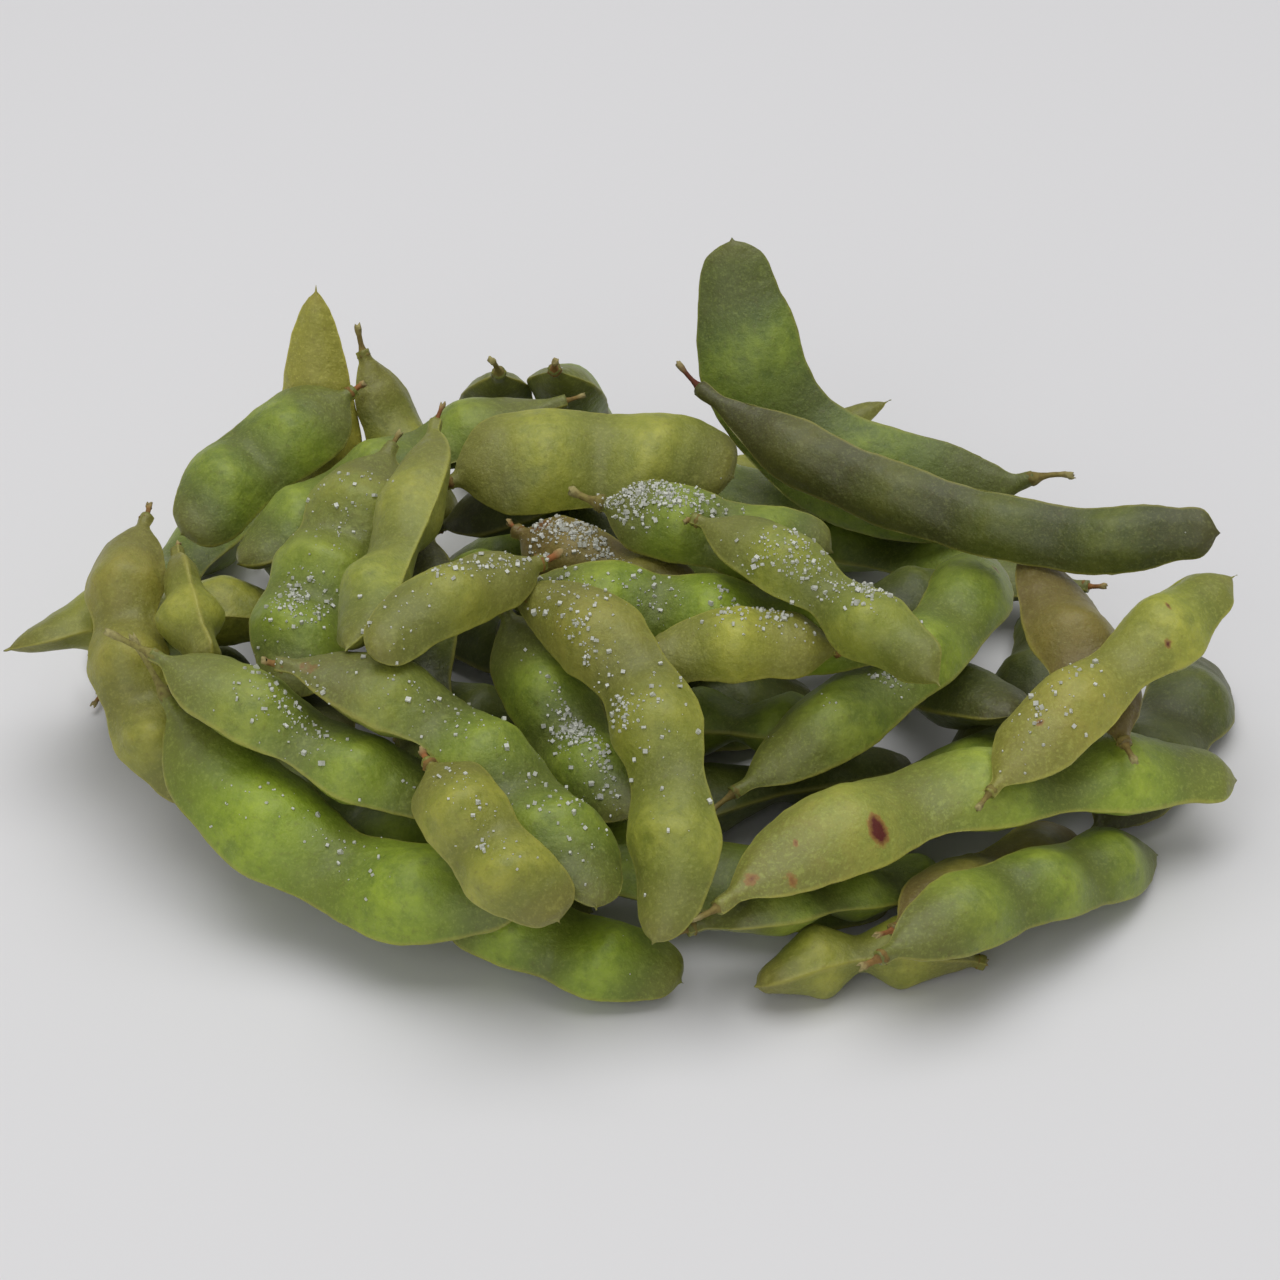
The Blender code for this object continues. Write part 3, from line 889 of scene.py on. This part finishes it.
def lay_stalk(name, pod, kind, chance):
    """A copy of the stalk, laid along the pod's own with a curl and a torn end."""
    longer, curl, thickness, dryness, lean = kind
    longer = longer * MM
    new = copied(stalk_tube, name)
    z, angle, inside = tube_places(new)
    reach, line = pod["reach"], pod["line"]
    neck = reach[STALK_RINGS] + CALYX
    at = neck - (neck + longer) * (1 - z)
    outward = unit(line[0] - line[2])
    middle = flow(np.append([-longer], reach), np.vstack([line[0] + outward * longer, line]), at)
    middle = middle + unit(np.array(lean)) * (curl * MM * (1 - z) ** 2)[:, None]
    wide, thin = unit(pod["wide"][0]), unit(pod["thick"][0])
    radius = thickness * np.interp(z, *zip(*PROFILE)) * MM
    ridges = 1 + RIDGE_HEIGHT * np.cos(RIDGES * angle + RIDGE_TWIST * z) * inside
    teeth = TOOTH * np.sin(TEETH * angle + chance.uniform(*ANY_TURN))
    out = wide * (np.cos(angle) * radius * ridges * inside)[:, None]
    out = out + thin * (np.sin(angle) * radius * ridges * inside)[:, None]
    place = middle + out + outward * np.where(z < TORN, teeth, 0)[:, None]
    place[:, 2] = np.maximum(place[:, 2], 0)
    reshape(new, place, from_end=z, dryness=np.full(len(z), dryness))
    only(new)
    bpy.ops.object.shade_smooth()
    return new


# %% [markdown]
# A dried stalk is dull and fibrous, from straw to red-brown. It is paler where it was torn,
# greener at the calyx, and darker along its fibres.

# %% The stalks' dry bark
FIBRE = 0.7 * MM  # how broad the fibres are
FIBRE_STRENGTH, FIBRE_DEPTH = 0.6, 0.2 * MM
STRAW_TO_RED = (
    (0.0, linear("#8c8648")), (0.45, linear("#84703c")),
    (0.75, linear("#9a6438")), (1.0, linear("#5e2f1f")),
)
BARK_COATS = (  # what the mask is read from, where and how strong it is, and the colour
    ("from_end", ((0.0, grey(0.8)), (0.3, grey(0))), linear("#b3ab74")),
    ("from_end", ((0.7, grey(0)), (1.0, grey(0.7))), linear("#757336")),
    ("fibre", ((0.42, grey(0)), (0.75, grey(0.6))), linear("#4f3a22")),
)


def dry_bark():
    """Stem that dried on the pod: fibrous and without shine."""
    material = finish("dry_stalk", Roughness=0.75, Specular_IOR_Level=0.25)
    tree = material.node_tree
    shader = tree.nodes["Principled BSDF"]
    place = add(tree, "ShaderNodeTexCoord").outputs["Object"]
    look = {"Vector": place, "Scale": 1 / FIBRE, "Detail": 4, "Roughness": 0.5}
    sources = {"fibre": add(tree, NOISE, look).outputs["Fac"]}
    for key in ("dryness", "from_end"):
        sources[key] = add(tree, STORED_VALUE, attribute_name=key).outputs["Fac"]
    colour = add(tree, RAMP, {"Fac": sources["dryness"]}, STRAW_TO_RED).outputs["Color"]
    for source, stops, coat in BARK_COATS:
        mask = add(tree, RAMP, {"Fac": sources[source]}, stops).outputs["Color"]
        mix = {AMOUNT: mask, BELOW: colour, ABOVE: coat}
        colour = add(tree, MIX, mix, data_type="RGBA").outputs[MIXED]
    look = {"Height": sources["fibre"], "Strength": FIBRE_STRENGTH, "Distance": FIBRE_DEPTH}
    bump = add(tree, BUMP, look)
    tree.links.new(colour, shader.inputs["Base Color"])
    tree.links.new(bump.outputs["Normal"], shader.inputs["Normal"])
    return material


# %% Lay a stalk on every pod
bark = dry_bark()
chance = random.Random(7)
for name, pod in pods.items():
    kind = kind_of_stalk(name, chance)
    stalk = lay_stalk(f"{name}_stalk", pod, kind, chance)
    stalk.data.materials.append(bark)
    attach(stalk, "root")
print("stalks:", len(pods))

# %% [markdown]
# ## Salt
# Coarse salt clings to the wet pods in clusters, with finer grains all over the heap. A
# grain is a small cube, which every copy stretches out of true and turns its own way. The
# copies are dropped on the heap from above, and each stays where it first lands.

# %% Model a grain of salt
bpy.ops.object.select_all(action="DESELECT")
bpy.ops.mesh.primitive_cube_add(size=1)
grain = bpy.context.object
grain_corners = np.array([list(vert.co) for vert in grain.data.vertices])
grain_faces = [list(face.vertices) for face in grain.data.polygons]
print("a grain has", len(grain_faces), "faces")

# %% Where the grains are dropped
COARSE, FINE = (0.18, 0.52), (0.07, 0.2)  # mm across
COARSE_SHARE = 0.4  # of the grains in a cluster
CLUSTERS = {  # pods that hold a cluster: grains, how far along, and its spread along and across, mm
    "middle_brown": ((500, 0.40, 4.5, 1.8),),
    "middle_salted": ((620, 0.24, 4.5, 1.8), (50, 0.5, 3.0, 1.6)),
    "left_stub": ((120, 0.35, 6.0, 1.3),),
    "middle_long_bright": ((60, 0.4, 2.5, 1.4), (40, 0.2, 3.0, 1.4)),
    "between_crescents": ((380, 0.6, 3.0, 1.6), (220, 0.85, 2.5, 1.8)),
    "hollow_salted": ((400, 0.7, 4.5, 2.2),),
    "front_hollow_rise": ((320, 0.42, 4.0, 1.8),),
    "front_left_mottled": ((180, 0.5, 3.5, 1.8),),
    "front_left_smooth": ((60, 0.5, 9.0, 2.5),),
    "mottled_crescent": ((120, 0.45, 9.0, 3.0), (60, 0.8, 5.0, 3.0)),
    "big_crescent": ((90, 0.22, 5.0, 2.5), (50, 0.6, 8.0, 2.5)),
    "front_small_olive": ((70, 0.5, 5.0, 1.6),),
    "mottled_left": ((240, 0.75, 3.0, 2.5), (80, 0.4, 4.0, 3.0)),
    "orange_stub": ((60, 0.5, 4.0, 2.0),),
    "right_mottled": ((70, 0.3, 5.0, 2.0),),
}
STRAY = 3200  # fine grains over the whole heap
print("clusters:", sum(len(clusters) for clusters in CLUSTERS.values()))

# %% Draw the places by chance
NEXT_TO = 0.05  # the share of the pod on both sides of a cluster that gives its direction

chance = random.Random(3)
low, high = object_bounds()
drops = []
for name, clusters in CLUSTERS.items():
    reach, line = pods[name]["reach"], pods[name]["line"]
    for count, share, length, width in clusters:
        ends = flow(reach, line, np.array([share - NEXT_TO, share + NEXT_TO]) * reach[-1])
        centre = ends.mean(axis=0)
        ahead = unit((ends[1] - ends[0])[:2])
        for _ in range(count):
            far, aside = chance.gauss(0, length) * MM, chance.gauss(0, width) * MM
            x = centre[0] + ahead[0] * far - ahead[1] * aside
            y = centre[1] + ahead[1] * far + ahead[0] * aside
            drops.append((x, y, COARSE if chance.random() < COARSE_SHARE else FINE))
for _ in range(STRAY):
    drops.append((chance.uniform(low[0], high[0]), chance.uniform(low[1], high[1]), FINE))
print("grains dropped:", len(drops))

# %% Let them land
DROP = 10 * MM  # above the heap
LEAST_SLOPE = 0.3  # how far up the skin has to face, of 1 for level, to hold a grain


def heap_surface():
    """All the pods' faces as one searchable surface."""
    corners, faces = [], []
    for body in finished.values():
        start = len(corners)
        corners += [vert.co.copy() for vert in body.data.vertices]
        faces += [[start + i for i in face.vertices] for face in body.data.polygons]
    return BVHTree.FromPolygons(corners, faces)


surface = heap_surface()


def land(x, y):
    """Where a grain dropped there comes to rest and which way the skin faces, or nothing."""
    place, slope, _, _ = surface.ray_cast(Vector((x, y, high[2] + DROP)), Vector((0, 0, -1)))
    return (place, slope) if place is not None and slope.z > LEAST_SLOPE else None


landed = [(spot, sizes) for x, y, sizes in drops if (spot := land(x, y))]
print("grains that stay on:", len(landed))

# %% Make the grains one mesh
MOSTLY_SMALL = 1.6  # a power, which makes large grains rarer than small ones
STRETCH = (0.6, 1.4)
ROLL = (0, 6.28)  # radians
LIFT = 0.3  # of a grain's size, from the skin to its middle

corners, faces = [], []
for (place, slope), sizes in landed:
    size = (sizes[0] + (sizes[1] - sizes[0]) * chance.random() ** MOSTLY_SMALL) * MM
    stretch = np.array([chance.uniform(*STRETCH) for _ in range(3)])
    turn = Matrix.Rotation(chance.uniform(*ROLL), 3, "X")
    turn = np.array(turn @ Matrix.Rotation(chance.uniform(*ROLL), 3, "Z"))
    middle = np.array(place + slope * size * LIFT)
    start = len(corners)
    corners += (grain_corners * stretch * size @ turn.T + middle).tolist()
    faces += [[start + i for i in face] for face in grain_faces]
salt_mesh = bpy.data.meshes.new("salt_grains")
salt_mesh.from_pydata(corners, [], faces)
salt = bpy.data.objects.new("salt_grains", salt_mesh)
bpy.context.collection.objects.link(salt)
print("faces in the salt:", len(faces))

# %% [markdown]
# Salt crystals are clear, but full of cracks, so a grain looks white with a little light
# coming through it.

# %% Salt's finish
crystal = finish(
    "coarse_salt", Base_Color=linear("#e5e7dc"), Roughness=0.28, IOR=1.54, Transmission_Weight=0.35
)
salt.data.materials.append(crystal)
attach(salt, "root")

for used in (skin, stalk_tube, grain):
    bpy.data.objects.remove(used)
print("pieces in all:", len(finished) + len(pods) + 1)

# %% [markdown]
# ## Floor, light and camera
# A pale matt floor, a broad soft light overhead and a weak one from the front left, as
# from a bright ceiling. The camera looks down on the heap from the front.

# %% Floor and surroundings
FLOOR = 6  # metres, so that its edge shows in no view
ROOM_LIGHT = 0.37

bpy.ops.object.select_all(action="DESELECT")
bpy.ops.mesh.primitive_plane_add(size=FLOOR)
floor = bpy.context.object
floor.name = "floor"
paper = finish("pale_floor", Base_Color=linear("#e2e2e3"), Roughness=0.8)
floor.data.materials.append(paper)

world = bpy.data.worlds.new("room")
world.use_nodes = True
world.node_tree.nodes["Background"].inputs["Color"].default_value = linear("#efedef")
world.node_tree.nodes["Background"].inputs["Strength"].default_value = ROOM_LIGHT
bpy.context.scene.world = world
print("floor:", FLOOR, "m")

# %% Lights
CEILING = ((0.0, 0.12, 1.1), 1.2, 8.8)  # place in metres, size in metres, watts
FRONT_LIGHT = ((-0.35, -1.0, 0.6), 0.8, 2.7)


def soft_light(name, place, size, power):
    """A square light at the place, aimed at the heap."""
    data = bpy.data.lights.new(name, "AREA")
    data.size = size
    data.energy = power
    light = bpy.data.objects.new(name, data)
    light.location = place
    light.rotation_euler = (-Vector(place)).to_track_quat("-Z", "Y").to_euler()
    bpy.context.collection.objects.link(light)


soft_light("ceiling_light", *CEILING)
soft_light("front_light", *FRONT_LIGHT)
print("lights:", len(bpy.data.lights))

# %% Camera
TILT = 35  # degrees down
CAMERA_PLACE = (0.00065, -0.4006, 0.2955)  # metres
SENSOR, LENS = 36, 98.4  # mm

lens = bpy.data.cameras.new("camera")
lens.sensor_width = SENSOR
lens.lens = LENS
camera = bpy.data.objects.new("camera", lens)
camera.location = CAMERA_PLACE
camera.rotation_euler = (math.radians(90 - TILT), 0, 0)
bpy.context.collection.objects.link(camera)
bpy.context.scene.camera = camera
bpy.context.scene.view_settings.view_transform = "Standard"
print("the camera looks down by", TILT, "degrees")
